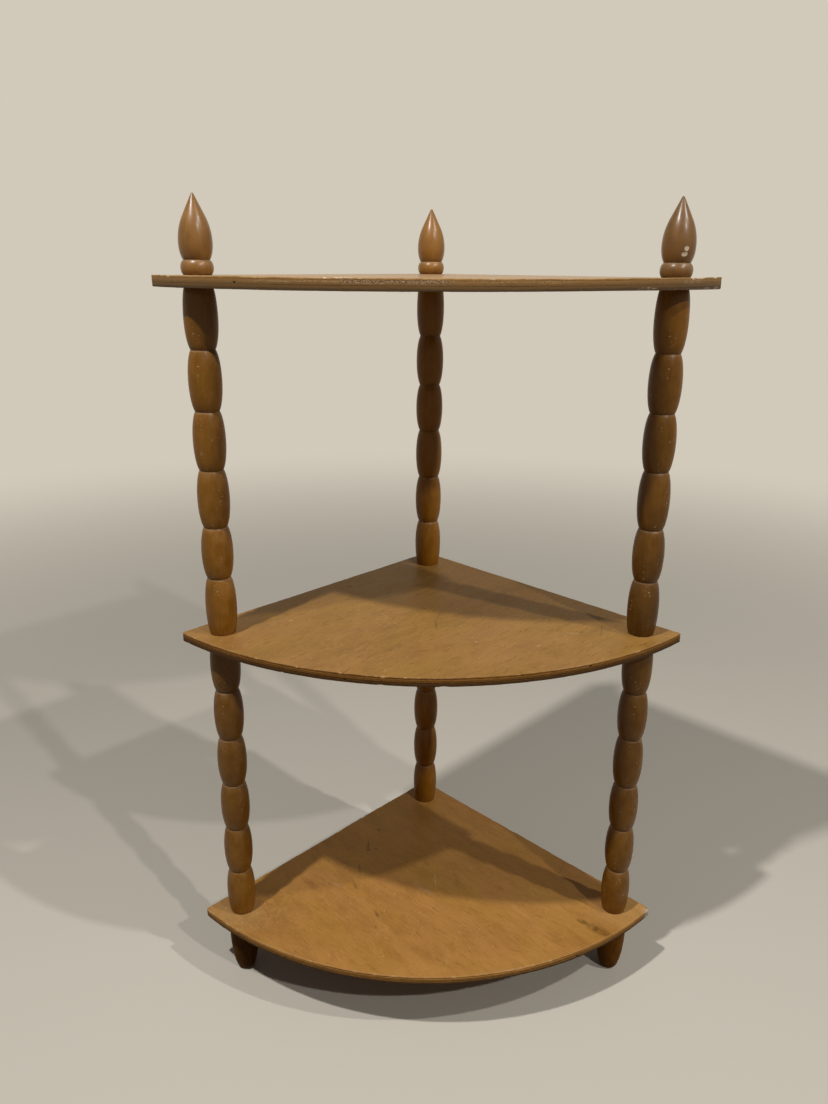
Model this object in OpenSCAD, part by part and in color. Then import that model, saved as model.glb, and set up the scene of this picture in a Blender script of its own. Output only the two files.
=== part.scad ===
// Three-tier corner shelf on bobbin-turned columns, in millimetres.
// Floor at z = 0, wall corner towards +Y, curved front towards -Y, left and right along X.
// Every column is foot, lower spindle, upper spindle and finial, drawn together through the
// three shelves by double-ended studs.

/* [Shelves] */
// Straight back edge of a shelf, from the wall corner to the front tip
shelf_side = 273; // [220:1:330]
// Radius of the curved front edge
front_radius = 283; // [255:1:400]
// Thickness of the shelf board
shelf_t = 7; // [5:0.5:16]
// Rounding of the tips and of the wall corner, seen from above
tip_r = 2; // [1.5:0.5:10]
// Bevel that eases the long edges of a shelf
edge_ease = 0.6; // [0.2:0.1:1.4]

/* [Columns] */
// Column centre to the straight back edges
back_inset = 21; // [16:0.5:40]
// Column centre to the curved front edge
front_inset = 22; // [16:0.5:45]

/* [Spindles] */
// Number of bobbins turned on a spindle
bobbins = 6; // [3:1:10]
// Length of a bobbin from neck to neck
bobbin_h = 42.4; // [24:0.4:60]
// Diameter over the belly of a bobbin
belly_d = 23.5; // [19.5:0.5:36]
// Diameter at the sharp neck between two bobbins
neck_d = 17.2; // [12:0.2:18.4]
// Diameter of a spindle where it stands on or under a shelf
end_d = 19.2; // [12:0.2:22]

/* [Finials] */
// Height of the ring bead at the foot of a finial
bead_h = 9.9; // [6:0.1:14]
// Diameter over the ring bead
bead_d = 22; // [21:0.2:30]
// Diameter of the finial where it stands on the top shelf
bead_foot_d = 19.4; // [16:0.2:21.6]
// Diameter of the groove between the bead and the flame
groove_d = 17.8; // [14:0.2:20]
// Diameter over the belly of the flame
flame_d = 22.6; // [19.6:0.1:26]
// Height of the flame from the groove up to its belly
flame_low_h = 10.6; // [6:0.1:16]
// Height of the flame from its belly up to the tip
flame_high_h = 31; // [27:0.5:44]
// Slope of the straight upper flank, from the upright
flank_angle = 26; // [24:0.5:34]
// Rounding of the very tip
flame_tip_r = 1; // [0.5:0.1:2]

/* [Feet] */
// Height of a foot from the floor to the bottom shelf
foot_h = 55; // [40:1:120]
// Depth of the widest point of a foot below the bottom shelf
foot_belly_drop = 18; // [10:1:30]
// Diameter of a foot at its widest
foot_belly_d = 24; // [21.5:0.5:36]
// Diameter of a foot under the bottom shelf
foot_top_d = 21; // [16:0.5:23.5]
// Diameter of a foot just above the floor
foot_toe_d = 13; // [9:0.5:18]
// Bevel around the sole of a foot
toe_bevel = 1.2; // [0.4:0.1:2]

/* [Studs] */
// Diameter of the double-ended stud
stud_d = 6; // [4:0.5:8]
// Length of stud held in the turned piece on each side of a shelf
stud_grip = 15; // [10:0.5:20]
// Play of the stud in the bore of a turned piece, on the diameter
bore_play = 0.2; // [0.1:0.05:0.6]
// Play of the stud in the hole of a shelf, on the diameter
hole_play = 1; // [0.4:0.1:2]
// Room left beyond the end of the stud in a bore
bore_runout = 2; // [0.5:0.5:4]
// Bevel on both ends of a stud
stud_bevel = 0.8; // [0.2:0.1:1.2]

/* [Hidden] */
$fn = 96;
eps = 0.5;                 // how far a cutter runs past the face that it opens

// A turned swelling is part of an ellipse that would close a little beyond its end.
// Crisp is for bobbins, bead and foot; soft is for the round shoulder under the flame's belly.
crisp = 1.07;
soft = 1.25;
lap = 1.02;                // a swelling is drawn this much longer, so that it crosses the next one
proud = 0.03;              // a corner's round stands this far proud, so that it crosses both edges
flank_steps = 18;          // straight steps along the curved flank of the flame
tip_steps = 4;             // straight steps around its tip

// Plan: the front arc passes through both tips, so its centre lies behind the wall corner
arc_back = sqrt(front_radius * front_radius - shelf_side * shelf_side / 2) - shelf_side / sqrt(2);
corner_cut = tip_r * (sqrt(2) - 1);
plan_depth = front_radius - arc_back - corner_cut;
corner_y = plan_depth / 2 + corner_cut;
arc_y = corner_y + arc_back;

// Point at a distance "along" from the wall corner and "in" from the right back edge
function side_point(along, in) = [(along - in) / sqrt(2), corner_y - (along + in) / sqrt(2)];
// Distance along the edge at which a point "in" from it also lies "short" of the front arc
function along_at(in, short) =
    sqrt(pow(front_radius - short, 2) - pow(in + arc_back / sqrt(2), 2)) - arc_back / sqrt(2);

// Centres of the rounded corners, and where the right tip's round meets the front arc
corner_in = tip_r - proud;
corner_centre = side_point(corner_in, corner_in);
tip_centre = side_point(along_at(corner_in, corner_in), corner_in);
tip_turn = atan2(tip_centre[1] - arc_y, tip_centre[0]);
front_col = side_point(along_at(back_inset, front_inset), back_inset);
back_col = side_point(back_inset, back_inset);

// Clear height between two shelves, which is the length of a spindle
bay_h = bobbins * bobbin_h;

// Levels of the undersides of the three shelves, and of the top face of the top one
z_low = foot_h;
z_mid = z_low + shelf_t + bay_h;
z_top = z_mid + shelf_t + bay_h;
z_finial = z_top + shelf_t;

bore_d = stud_d + bore_play;
bore_depth = stud_grip + bore_runout;
hole_d = stud_d + hole_play;
stud_len = shelf_t + 2 * stud_grip;

// Places of the three columns
module at_left(z) translate([-front_col[0], front_col[1], z]) children();
module at_right(z) translate([front_col[0], front_col[1], z]) children();
module at_back(z) translate([back_col[0], back_col[1], z]) children();

// Half of a turned swelling: radius r_mid at height 0 falls along an ellipse to r_end at height h
module swell(h, r_mid, r_end, run_on = crisp) {
    bulge = (r_mid - r_end) / (1 - sqrt(1 - 1 / (run_on * run_on)));
    intersection() {
        translate([r_mid - bulge, 0]) scale([bulge, h * run_on]) circle(1);
        square([r_mid, h * lap]);
    }
    if (r_mid > bulge) square([r_mid - bulge, h * lap]);
}

// Swelling below and above its widest point, which is at height 0
module barrel(h_low, h_high, r_mid, r_low, r_high) {
    swell(h_high, r_mid, r_high);
    mirror([0, 1]) swell(h_low, r_mid, r_low);
}

// Turns its children, an outline, around the column and cuts the ends square at 0 and h.
// A square of side h clears the outline, because every turned piece is taller than its radius.
module turned(h) {
    rotate_extrude()
    intersection() {
        union() children();
        square(h);
    }
}

// Blind bore for a stud, opening at height 0 and running up
module stud_bore() {
    translate([0, 0, -eps]) cylinder(h = bore_depth + eps, d = bore_d);
}

module spindle() {
    color("peru")
    difference() {
        turned(bay_h)
        for (i = [0 : bobbins - 1])
            translate([0, (i + 0.5) * bobbin_h])
            barrel(bobbin_h / 2, bobbin_h / 2, belly_d / 2,
                   (i == 0 ? end_d : neck_d) / 2,
                   (i == bobbins - 1 ? end_d : neck_d) / 2);
        stud_bore();
        translate([0, 0, bay_h]) mirror([0, 0, 1]) stud_bore();
    }
}

// Upper flame: an arc from the belly runs into a straight flank, which ends in a round tip
module flame_top() {
    r = flame_d / 2;
    tip = flame_tip_r;
    c = cos(flank_angle);
    s = sin(flank_angle);
    flank_r = ((flame_high_h - tip) * s + tip - r * c) / (1 - c);
    flank = [for (i = [0 : flank_steps])
        let (a = flank_angle * i / flank_steps)
        [r - flank_r * (1 - cos(a)), flank_r * sin(a)]];
    point = [for (i = [0 : tip_steps])
        let (a = flank_angle + (90 - flank_angle) * i / tip_steps)
        [tip * cos(a), flame_high_h - tip + tip * sin(a)]];
    polygon(concat([[0, 0]], flank, point));
}

module finial() {
    flame_z = bead_h + flame_low_h;
    color("peru")
    difference() {
        turned(flame_z + flame_high_h) {
            translate([0, bead_h / 2])
            barrel(bead_h / 2, bead_h / 2, bead_d / 2, bead_foot_d / 2, groove_d / 2);
            translate([0, flame_z]) {
                mirror([0, 1]) swell(flame_low_h, flame_d / 2, groove_d / 2, soft);
                flame_top();
            }
        }
        stud_bore();
    }
}

module foot() {
    sole_r = foot_toe_d / 2 - toe_bevel;
    color("saddlebrown")
    difference() {
        intersection() {
            turned(foot_h)
            translate([0, foot_h - foot_belly_drop])
            barrel(foot_h - foot_belly_drop, foot_belly_drop, foot_belly_d / 2,
                   foot_toe_d / 2, foot_top_d / 2);
            cylinder(h = foot_h, r1 = sole_r, r2 = sole_r + foot_h);
        }
        translate([0, 0, foot_h]) mirror([0, 0, 1]) stud_bore();
    }
}

// Section of a shelf from x = inner out to its edge at x = edge, with both long edges eased
module board_section(inner, edge) {
    eased = edge > inner ? edge - edge_ease : edge + edge_ease;
    polygon([[inner, 0], [eased, 0], [edge, edge_ease],
             [edge, shelf_t - edge_ease], [eased, shelf_t], [inner, shelf_t]]);
}

// Round disc of the board with an eased rim
module board_disc(r) {
    rotate_extrude()
    board_section(0, r);
}

// Board on the inner side of the right back edge, longer than the edge at both ends
module board_right() {
    spare = front_radius;
    translate([0, corner_y, 0])
    rotate([0, 0, -45])
    translate([shelf_side + spare, 0, 0])
    rotate([90, 0, -90])
    linear_extrude(shelf_side + 2 * spare)
    board_section(2 * spare, 0);
}

// What a rounded corner takes off the board: a wedge from its centre out past the sharp
// corner, less the round itself
module corner_waste(centre, from, turn) {
    reach = 3 * tip_r;
    translate([centre[0], centre[1], 0])
    difference() {
        translate([0, 0, -eps])
        linear_extrude(shelf_t + 2 * eps)
        polygon([[0, 0],
                 reach * [cos(from), sin(from)],
                 2 * reach * [cos(from + turn / 2), sin(from + turn / 2)],
                 reach * [cos(from + turn), sin(from + turn)]]);
        board_disc(tip_r);
    }
}

module tip_waste() corner_waste(tip_centre, tip_turn, 45 - tip_turn);

module column_hole() {
    translate([0, 0, -eps]) cylinder(h = shelf_t + 2 * eps, d = hole_d);
}

module shelf() {
    color("burlywood")
    difference() {
        intersection() {
            translate([0, arc_y, 0]) board_disc(front_radius);
            board_right();
            mirror([1, 0, 0]) board_right();
        }
        corner_waste(corner_centre, 45, 90);
        tip_waste();
        mirror([1, 0, 0]) tip_waste();
        at_left(0) column_hole();
        at_right(0) column_hole();
        at_back(0) column_hole();
    }
}

// Stud centred on the thickness of the shelf whose underside is at height 0
module stud() {
    r = stud_d / 2;
    color("silver")
    translate([0, 0, -stud_grip])
    rotate_extrude()
    polygon([[0, 0], [r - stud_bevel, 0], [r, stud_bevel],
             [r, stud_len - stud_bevel], [r - stud_bevel, stud_len], [0, stud_len]]);
}

module bottom_shelf() translate([0, 0, z_low]) shelf();
module middle_shelf() translate([0, 0, z_mid]) shelf();
module top_shelf() translate([0, 0, z_top]) shelf();

module foot_left() at_left(0) foot();
module foot_right() at_right(0) foot();
module foot_back() at_back(0) foot();

module lower_spindle_left() at_left(z_low + shelf_t) spindle();
module lower_spindle_right() at_right(z_low + shelf_t) spindle();
module lower_spindle_back() at_back(z_low + shelf_t) spindle();

module upper_spindle_left() at_left(z_mid + shelf_t) spindle();
module upper_spindle_right() at_right(z_mid + shelf_t) spindle();
module upper_spindle_back() at_back(z_mid + shelf_t) spindle();

module finial_left() at_left(z_finial) finial();
module finial_right() at_right(z_finial) finial();
module finial_back() at_back(z_finial) finial();

module bottom_stud_left() at_left(z_low) stud();
module bottom_stud_right() at_right(z_low) stud();
module bottom_stud_back() at_back(z_low) stud();

module middle_stud_left() at_left(z_mid) stud();
module middle_stud_right() at_right(z_mid) stud();
module middle_stud_back() at_back(z_mid) stud();

module top_stud_left() at_left(z_top) stud();
module top_stud_right() at_right(z_top) stud();
module top_stud_back() at_back(z_top) stud();

bottom_shelf();
middle_shelf();
top_shelf();
foot_left();
foot_right();
foot_back();
lower_spindle_left();
lower_spindle_right();
lower_spindle_back();
upper_spindle_left();
upper_spindle_right();
upper_spindle_back();
finial_left();
finial_right();
finial_back();
bottom_stud_left();
bottom_stud_right();
bottom_stud_back();
middle_stud_left();
middle_stud_right();
middle_stud_back();
top_stud_left();
top_stud_right();
top_stud_back();
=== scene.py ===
"""Looks for the three-tier corner shelf: worn plywood boards and lacquered turned columns."""

import math
import random

import bmesh
import bpy
import numpy as np
from mathutils import Matrix, Vector


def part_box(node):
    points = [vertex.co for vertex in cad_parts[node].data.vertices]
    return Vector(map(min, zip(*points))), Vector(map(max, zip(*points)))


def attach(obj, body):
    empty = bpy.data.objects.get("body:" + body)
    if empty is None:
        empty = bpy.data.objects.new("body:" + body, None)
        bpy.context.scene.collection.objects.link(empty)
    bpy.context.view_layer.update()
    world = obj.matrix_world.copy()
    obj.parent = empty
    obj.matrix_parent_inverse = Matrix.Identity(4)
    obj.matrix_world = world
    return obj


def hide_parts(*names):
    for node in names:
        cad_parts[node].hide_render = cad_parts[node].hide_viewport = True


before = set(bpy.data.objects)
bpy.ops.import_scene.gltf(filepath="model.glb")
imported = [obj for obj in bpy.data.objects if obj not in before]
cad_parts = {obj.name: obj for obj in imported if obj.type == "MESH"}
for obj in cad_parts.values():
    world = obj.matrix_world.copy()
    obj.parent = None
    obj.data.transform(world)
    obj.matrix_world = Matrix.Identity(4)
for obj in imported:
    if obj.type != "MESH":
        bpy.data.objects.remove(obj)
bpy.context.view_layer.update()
bpy.context.scene.view_settings.view_transform = "Standard"

MM = 0.001
FULL_TURN = 2 * math.pi

# Sizes in millimetres, as in the part's source
SHELF_SIDE = 273.0
FRONT_RADIUS = 283.0
TIP_R = 2.0
BOARD_THICK = 7.0
PLY_COUNT = 5
HOLE_R = 3.5
BORE_R = 3.1
BORE_DEPTH = 17.0
BOBBINS = 6
BELLY_R = 11.75
NECK_R = 8.6
END_R = 9.6
BEAD_H = 9.9
BEAD_R = 11.0
BEAD_FOOT_R = 9.2
GROOVE_R = 8.9
FLAME_R = 11.3
FLAME_LOW_H = 10.6
FLANK_ANGLE = math.radians(26)
FLAME_TIP_R = 1.0
FOOT_BELLY_DROP = 18.0
FOOT_BELLY_R = 12.0
FOOT_TOP_R = 10.5
FOOT_TOE_R = 6.5
TOE_BEVEL = 1.2
CRISP = 1.07
SOFT = 1.25

# How finely the meshes are divided: points round a piece, millimetres along a shelf's rim, and
# the angle from which an edge looks sharp
COLUMN_SEGMENTS = 72
FINIAL_SEGMENTS = 120
HOLE_SEGMENTS = 48
FLOOR_SEGMENTS = 64
FRONT_STEP = 0.7
BACK_STEP = 2.0
SHARP_ANGLE = math.radians(38)

# The photo's camera, refitted to the outlines of the stand
PHOTO_W, PHOTO_H = 828, 1104
FOCAL_PIXELS = 852.259
CAMERA_AT = (-20.470, -661.009, 592.906)
CAMERA_YAW, CAMERA_DOWN, CAMERA_ROLL = 0.5620, 18.6761, 0.3683

# Lamps as the shadows in the photo place them: place in millimetres, and the share that each
# gives of the light on a level board
LAMPS = {
    "lamp_right": ((1097, -1522, 1892), 0.15),
    "lamp_far_right": ((1250, -790, 2150), 0.22),
    "lamp_left": ((-573, -625, 1852), 0.55),
}
LAMP_SIZE = 0.06
LAMPS_AIM_AT = (0, 0, 0.32)
ROOM_LIGHT = 0.092
PALE = (0.64, 0.585, 0.49)
FLOOR_UNSEEN = (0.16, 0.14, 0.12)
FLOOR_RADIUS = 3.0
FLOOR_FADE = (0.55, 2.2)


def tinted(colour, by):
    """A colour times a number, or times one number for each channel."""
    return tuple(float(channel) for channel in np.array(colour) * by)


class Shader:
    """Emptied node tree of a material or a world, with short ways to add nodes to it.

    A value may be a number, an (r, g, b) colour or another node's output."""

    def __init__(self, owner):
        self.owner = owner
        owner.use_nodes = True
        self.tree = owner.node_tree
        self.tree.nodes.clear()

    def add(self, kind, inputs, **settings):
        made = self.tree.nodes.new("ShaderNode" + kind)
        for key, value in settings.items():
            setattr(made, key, value)
        for key, value in inputs.items():
            socket = made.inputs[key]
            if isinstance(value, bpy.types.NodeSocket):
                self.tree.links.new(value, socket)
            elif socket.type == "RGBA":
                socket.default_value = (*value, 1.0)
            else:
                socket.default_value = value
        return made

    def get(self, kind, inputs, output=0, **settings):
        """Adds a node and returns one of its outputs."""
        return self.add(kind, inputs, **settings).outputs[output]

    def attribute(self, name, output="Fac"):
        """One of the mesh's own marks."""
        return self.get("Attribute", {}, output, attribute_name=name)

    def place(self):
        return self.get("TexCoord", {}, "Object")

    def calc(self, operation, a, b=0.0, c=0.0, clamp=False):
        return self.get("Math", {0: a, 1: b, 2: c}, operation=operation, use_clamp=clamp)

    def apart(self, a, b):
        return self.calc("ABSOLUTE", self.calc("SUBTRACT", a, b))

    def times(self, first, *others):
        for other in others:
            first = self.calc("MULTIPLY", first, other)
        return first

    def most(self, first, *others):
        for other in others:
            first = self.calc("MAXIMUM", first, other)
        return first

    def weighted(self, parts, start=0.5):
        """Adds (value, weight) parts, each by how far its value is from 0.5."""
        for value, weight in parts:
            start = self.calc("MULTIPLY_ADD", self.calc("SUBTRACT", value, 0.5), weight, start)
        return start

    def spread(self, value, low, high, to_low=0.0, to_high=1.0):
        """Maps low..high to to_low..to_high, smoothly and clamped."""
        return self.get("MapRange", {0: value, 1: low, 2: high, 3: to_low, 4: to_high},
                        interpolation_type="SMOOTHSTEP")

    def vector(self, operation, a, b):
        return self.get("VectorMath", {0: a, 1: b}, operation=operation)

    def length(self, a):
        return self.get("VectorMath", {0: a}, "Value", operation="LENGTH")

    def stretch(self, vector, scale, move=(0, 0, 0)):
        return self.get("Mapping", {"Vector": vector, "Scale": scale, "Location": move})

    def cloud(self, vector, scale, detail=3.0, roughness=0.5, distortion=0.0, move=(0, 0, 0)):
        """Noise around 0.5, with so many features in a metre along each axis."""
        return self.get("TexNoise", {
            "Vector": self.stretch(vector, scale, move), "Scale": 1.0, "Detail": detail,
            "Roughness": roughness, "Distortion": distortion}, "Fac")

    def jolted(self, vector, scale, reach):
        """Shifts a place by noise, so that shapes laid on it come out ragged."""
        ragged = self.get("TexNoise", {"Vector": vector, "Scale": scale, "Detail": 3.0}, "Color")
        nudge = self.vector("SUBTRACT", ragged, (0.5, 0.5, 0.5))
        nudge = self.get("VectorMath", {0: nudge, "Scale": reach}, operation="SCALE")
        return self.vector("ADD", vector, nudge)

    def specks(self, vector, spacing, radius, keep):
        """Dots of uneven strength on a flat map, about one in each cell; a share is kept."""
        cells = self.add("TexVoronoi", {"Vector": vector, "Scale": 1 / spacing},
                         voronoi_dimensions="2D").outputs
        near = self.spread(cells["Distance"], radius / spacing, 0.4 * radius / spacing)
        pick = self.add("SeparateColor", {0: cells["Color"]}).outputs
        return self.times(near, self.spread(pick[1], 0.0, 1.0, 0.35, 1.0),
                          self.calc("LESS_THAN", pick[0], keep))

    def mark(self, place, x, y, half_x, half_y, angle, soft, strength, ring=False):
        """Soft ellipse or ring on a board."""
        shift = self.vector("SUBTRACT", place, (x * MM, y * MM, 0))
        turned = self.get("VectorRotate", {"Vector": shift, "Angle": -math.radians(angle)},
                          rotation_type="Z_AXIS")
        scaled = self.vector("MULTIPLY", turned, (1 / (half_x * MM), 1 / (half_y * MM), 0))
        far = self.length(scaled)
        low, high = 1.0 + soft, max(0.0, 1.0 - soft)
        if ring:
            far, low, high = self.apart(far, 1.0), soft, 0.0
        return self.times(self.spread(far, low, high), strength)

    def blend(self, factor, a, b, mode="MIX"):
        """Mixes two colours."""
        return self.get("Mix", {0: factor, 6: a, 7: b}, 2, data_type="RGBA", blend_type=mode,
                        clamp_factor=True)

    def paint(self, under, coat, *shares):
        """Lays a coat over a colour, as thickly as the product of the shares says."""
        return self.blend(self.times(*shares), under, coat)

    def grade(self, factor, stops):
        """Colour ramp from (place, (r, g, b)) stops."""
        made = self.add("ValToRGB", {0: factor})
        ramp = made.color_ramp
        while len(ramp.elements) < len(stops):
            ramp.elements.new(0.5)
        for element, (place, colour) in zip(ramp.elements, stops):
            element.position = place
            element.color = (*colour, 1.0)
        return made.outputs[0]

    def shade(self, colour, factor):
        """Multiplies a colour by a number."""
        grey = self.get("CombineColor", {0: factor, 1: factor, 2: factor})
        return self.blend(1.0, colour, grey, "MULTIPLY")

    def bump(self, height, strength, distance):
        return self.get("Bump", {"Height": height, "Strength": strength, "Distance": distance})

    def finish(self, kind, inputs):
        """Adds the last shader and returns the material."""
        self.add("OutputMaterial", {"Surface": self.get(kind, inputs)})
        return self.owner


# Turned wood: colours of the painted sheen, of dust with painted highlight, and of the wood that
# nicks lay bare
PAINTED_SHEEN = (0.36, 0.24, 0.145)
DUST_AND_HIGHLIGHT = (0.44, 0.31, 0.19)
NICK = (0.50, 0.35, 0.20)
RING_SPACING = 0.0027
LACQUER_IOR = 1.45


def nicks_on(n):
    """Pale dots and short scratches in herds, on the piece's skin laid flat."""
    skin = n.add("SeparateXYZ", {0: n.attribute("skin", "Vector")}).outputs
    around = n.times(n.calc("ARCTAN2", skin[1], skin[0]), BELLY_R * MM)
    flat = n.get("CombineXYZ", {0: around, 1: skin[2]})
    herd = n.cloud(flat, (90, 60, 90), 2.0, move=(0.5, 0.3, 0.0))
    flat = n.jolted(flat, 700.0, 0.0019)
    dots = n.specks(flat, 0.0036, 0.00048, 0.4)
    upright = n.specks(n.stretch(flat, (1, 0.34, 1), (0.1, 0, 0)), 0.0042, 0.00042, 0.3)
    level = n.specks(n.stretch(flat, (0.38, 1, 1), (0, 0.2, 0)), 0.0042, 0.00042, 0.4)
    return n.times(n.most(dots, upright, level), n.spread(herd, 0.54, 0.64, 0.05, 1.0),
                   n.attribute("nicked"))


def turned_wood(name, deep, light, worn, lacquer, blur, shine):
    """Stained turned wood under a satin lacquer, with dusty lines, wear, painted shade and painted
    highlights from the piece's own marks.

    Lacquer, blur and shine are the coat's weight, its roughness and the wood's own specular."""
    n = Shader(bpy.data.materials.new(name))
    grain = n.attribute("grain", "Vector")
    across = n.add("SeparateXYZ", {0: grain}).outputs

    # Growth rings around a pith that lies outside the piece, faint under the stain
    reach = n.length(n.get("CombineXYZ", {0: across[0], 1: across[1]}))
    reach = n.calc("MULTIPLY_ADD", n.cloud(grain, (90, 90, 9), 2.0), 0.0034, reach)
    rings = n.calc("SINE", n.times(reach, FULL_TURN / RING_SPACING))
    streak = n.cloud(grain, (560, 560, 15), 4.0, 0.6)
    fibre = n.cloud(grain, (2600, 2600, 90), 2.0)
    patch = n.cloud(grain, (48, 48, 20), 2.0)
    blotch = n.cloud(grain, (170, 170, 110))
    mixed = n.weighted(((streak, 0.27), (patch, 0.46), (blotch, 0.42)),
                       n.calc("MULTIPLY_ADD", rings, 0.016, 0.5))
    middle = tuple((a + b) / 2 for a, b in zip(deep, light))
    colour = n.grade(mixed, [(0.28, deep), (0.5, middle), (0.74, light)])
    # The tone strengthens or weakens the stain along the piece, and so also paints in shade and
    # light falling off along its height
    colour = n.shade(colour, n.attribute("tone"))
    colour = n.paint(colour, tinted(deep, 0.45), n.spread(fibre, 0.56, 0.7), 0.18)

    # Dirt and painted shade lie in and above the grooves and painted sheen on the upper shoulders,
    # and a broken line of dust, worn lacquer and painted highlight lies just below each groove
    broken = n.cloud(grain, (260, 260, 260))
    dirt = n.times(n.attribute("dirt"), n.spread(patch, 0.2, 0.75, 0.6, 1.0))
    colour = n.paint(colour, tinted(deep, 0.3), dirt, 0.66)
    haze = n.times(n.attribute("haze"), n.spread(blotch, 0.34, 0.66, 0.15, 1))
    colour = n.paint(colour, PAINTED_SHEEN, haze)
    dust = n.times(n.attribute("dust"), n.spread(broken, 0.3, 0.58, 0.35, 1))
    colour = n.paint(colour, DUST_AND_HIGHLIGHT, dust, 0.55)

    # Bare wood where the lacquer is knocked off, then scuffs and nicks
    patchy = n.spread(broken, 0.3, 0.6, -0.5, 0.0)
    wear = n.calc("MULTIPLY_ADD", n.attribute("wear"), 1.5, patchy, clamp=True)
    scuff = n.cloud(grain, (420, 420, 130), 4.0, 0.7, move=(0.31, 0.17, 0.05))
    wear = n.most(wear, n.spread(scuff, 0.7, 0.8, 0.0, 0.5))
    colour = n.paint(colour, worn, wear)
    colour = n.paint(colour, NICK, nicks_on(n))

    rough = n.spread(patch, 0.25, 0.75, 0.42, 0.56)
    rough = n.calc("MULTIPLY_ADD", n.most(dust, wear, dirt, haze), 0.22, rough, clamp=True)
    lift = n.calc("MULTIPLY_ADD", streak, 0.3, n.times(fibre, 0.15))
    ripple = n.cloud(grain, (120, 120, 330), 2.0)
    bump = n.bump(n.calc("MULTIPLY_ADD", ripple, 0.7, lift), 0.16, 0.0002)
    return n.finish("BsdfPrincipled", {
        "Base Color": colour, "Roughness": rough, "Normal": bump, "Coat Normal": bump,
        "Specular IOR Level": shine, "Coat Weight": lacquer, "Coat Roughness": blur,
        "Coat IOR": LACQUER_IOR})


# Plywood: the usual coat and bare wood, colours of scraped, frayed and crushed places, and the
# painted shade in gaps in the edge
THIN_SATIN = (0.07, 0.34)
BARE = (0.46, 0.29, 0.14)
SCRAPED = (0.54, 0.40, 0.23)
FRAYED = (0.60, 0.56, 0.50)
GAP_SHADE = (0.022, 0.011, 0.005)
CRUMB_PALE = (0.50, 0.37, 0.21)
CRUMB_DARK = (0.13, 0.06, 0.03)
FACE_DOT = (0.55, 0.42, 0.24)


def veneer(n, grain, face, fleck):
    """Face veneer: broad figure and mottling, then sparse pale and dark flecks along the grain.

    Returns its colour, and the mottling, streaks and pores that shape its surface."""
    bent = n.jolted(grain, 55.0, 0.0075)
    figure = n.cloud(bent, (9, 52, 9), distortion=0.8)
    flame = n.cloud(bent, (34, 190, 60), 4.0, 0.62, 0.4, (0.1, 0.6, 0.0))
    mottle = n.cloud(bent, (44, 96, 40), 5.0, 0.6)
    blotch = n.cloud(grain, (9, 12, 9), move=(0.5, 0.7, 0.0))
    drift = n.cloud(bent, (15, 27, 15), 4.0, move=(0.3, 0.8, 0.0))
    streaks = n.cloud(bent, (80, 520, 200), 4.0, 0.66)
    hairs = n.cloud(bent, (130, 760, 400), move=(0.4, 0.3, 0.0))
    dashes = n.cloud(bent, (70, 640, 300), 2.0, move=(0.6, 0.1, 0.0))
    pores = n.cloud(grain, (330, 3400, 900), 2.0, move=(0.2, 0.1, 0.0))
    fine = n.cloud(bent, (240, 800, 600), move=(0.7, 0.2, 0.0))
    level = n.weighted(((figure, 0.26), (flame, 0.2), (streaks, 0.13 * fleck),
                        (fine, 0.2 * fleck), (mottle, 0.44), (blotch, 0.3)))
    colour = n.grade(level, [(0.32, tinted(face, (0.76, 0.71, 0.6))), (0.5, face),
                             (0.7, tinted(face, (1.2, 1.25, 1.42)))])
    rosy = n.blend(n.spread(drift, 0.34, 0.66), (1.02, 0.99, 1.08), (0.99, 1.00, 0.92))
    colour = n.blend(1.0, colour, rosy, "MULTIPLY")
    here = n.cloud(grain, (26, 34, 30), move=(0.9, 0.4, 0.0))
    colour = n.paint(colour, tinted(face, (0.62, 0.53, 0.38)), n.spread(streaks, 0.59, 0.66),
                     n.spread(here, 0.44, 0.6, 0.1, 1.0), 0.42 * fleck)
    colour = n.paint(colour, tinted(face, (0.55, 0.45, 0.3)),
                     n.spread(dashes, 0.62, 0.69, 0.0, 0.55 * fleck))
    colour = n.paint(colour, tinted(face, (1.45, 1.62, 2.3)), n.spread(hairs, 0.6, 0.68),
                     n.spread(here, 0.56, 0.4, 0.1, 1.0), 0.42 * fleck)
    colour = n.paint(colour, tinted(face, 0.5), n.spread(pores, 0.6, 0.72), 0.12)
    return colour, mottle, streaks, pores


def edge_plies(n, place, along, height, ply, tones, glue, rough_edge):
    """Colour of the edge: plies, told by height, and dark lines of glue between them."""
    coarse = n.cloud(place, (60, 60, 900), 2.0)
    lean = n.calc("MULTIPLY_ADD", coarse, 0.0003, n.calc("SUBTRACT", height, 0.00015))
    share = n.calc("DIVIDE", lean, BOARD_THICK * MM)
    stops = []
    for index, tone in enumerate(tones):
        if index:
            line = glue * min(tones[index - 1], tone)
            stops.append((index / PLY_COUNT, tinted(ply, line)))
        stops += [(index / PLY_COUNT + off, tinted(ply, tone)) for off in (0.035, 0.165)]
    streaky = n.spread(along, 0.25, 0.75, 1 - 0.3 * rough_edge, 1 + 0.3 * rough_edge)
    plies = n.shade(n.grade(share, stops), streaky)

    # The second and fourth plies show end grain: dark dashes and pale fibres side by side
    cross = n.calc("PINGPONG", n.calc("ADD", share, 0.1), 0.2)
    cross = n.times(n.spread(cross, 0.1, 0.13), rough_edge)
    dashes = n.spread(n.cloud(place, (800, 800, 420), 2.0, 0.6), 0.36, 0.62, 0.6, 1.35)
    return n.shade(plies, n.get("Mix", {0: cross, 2: 1.0, 3: dashes}))


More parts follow.
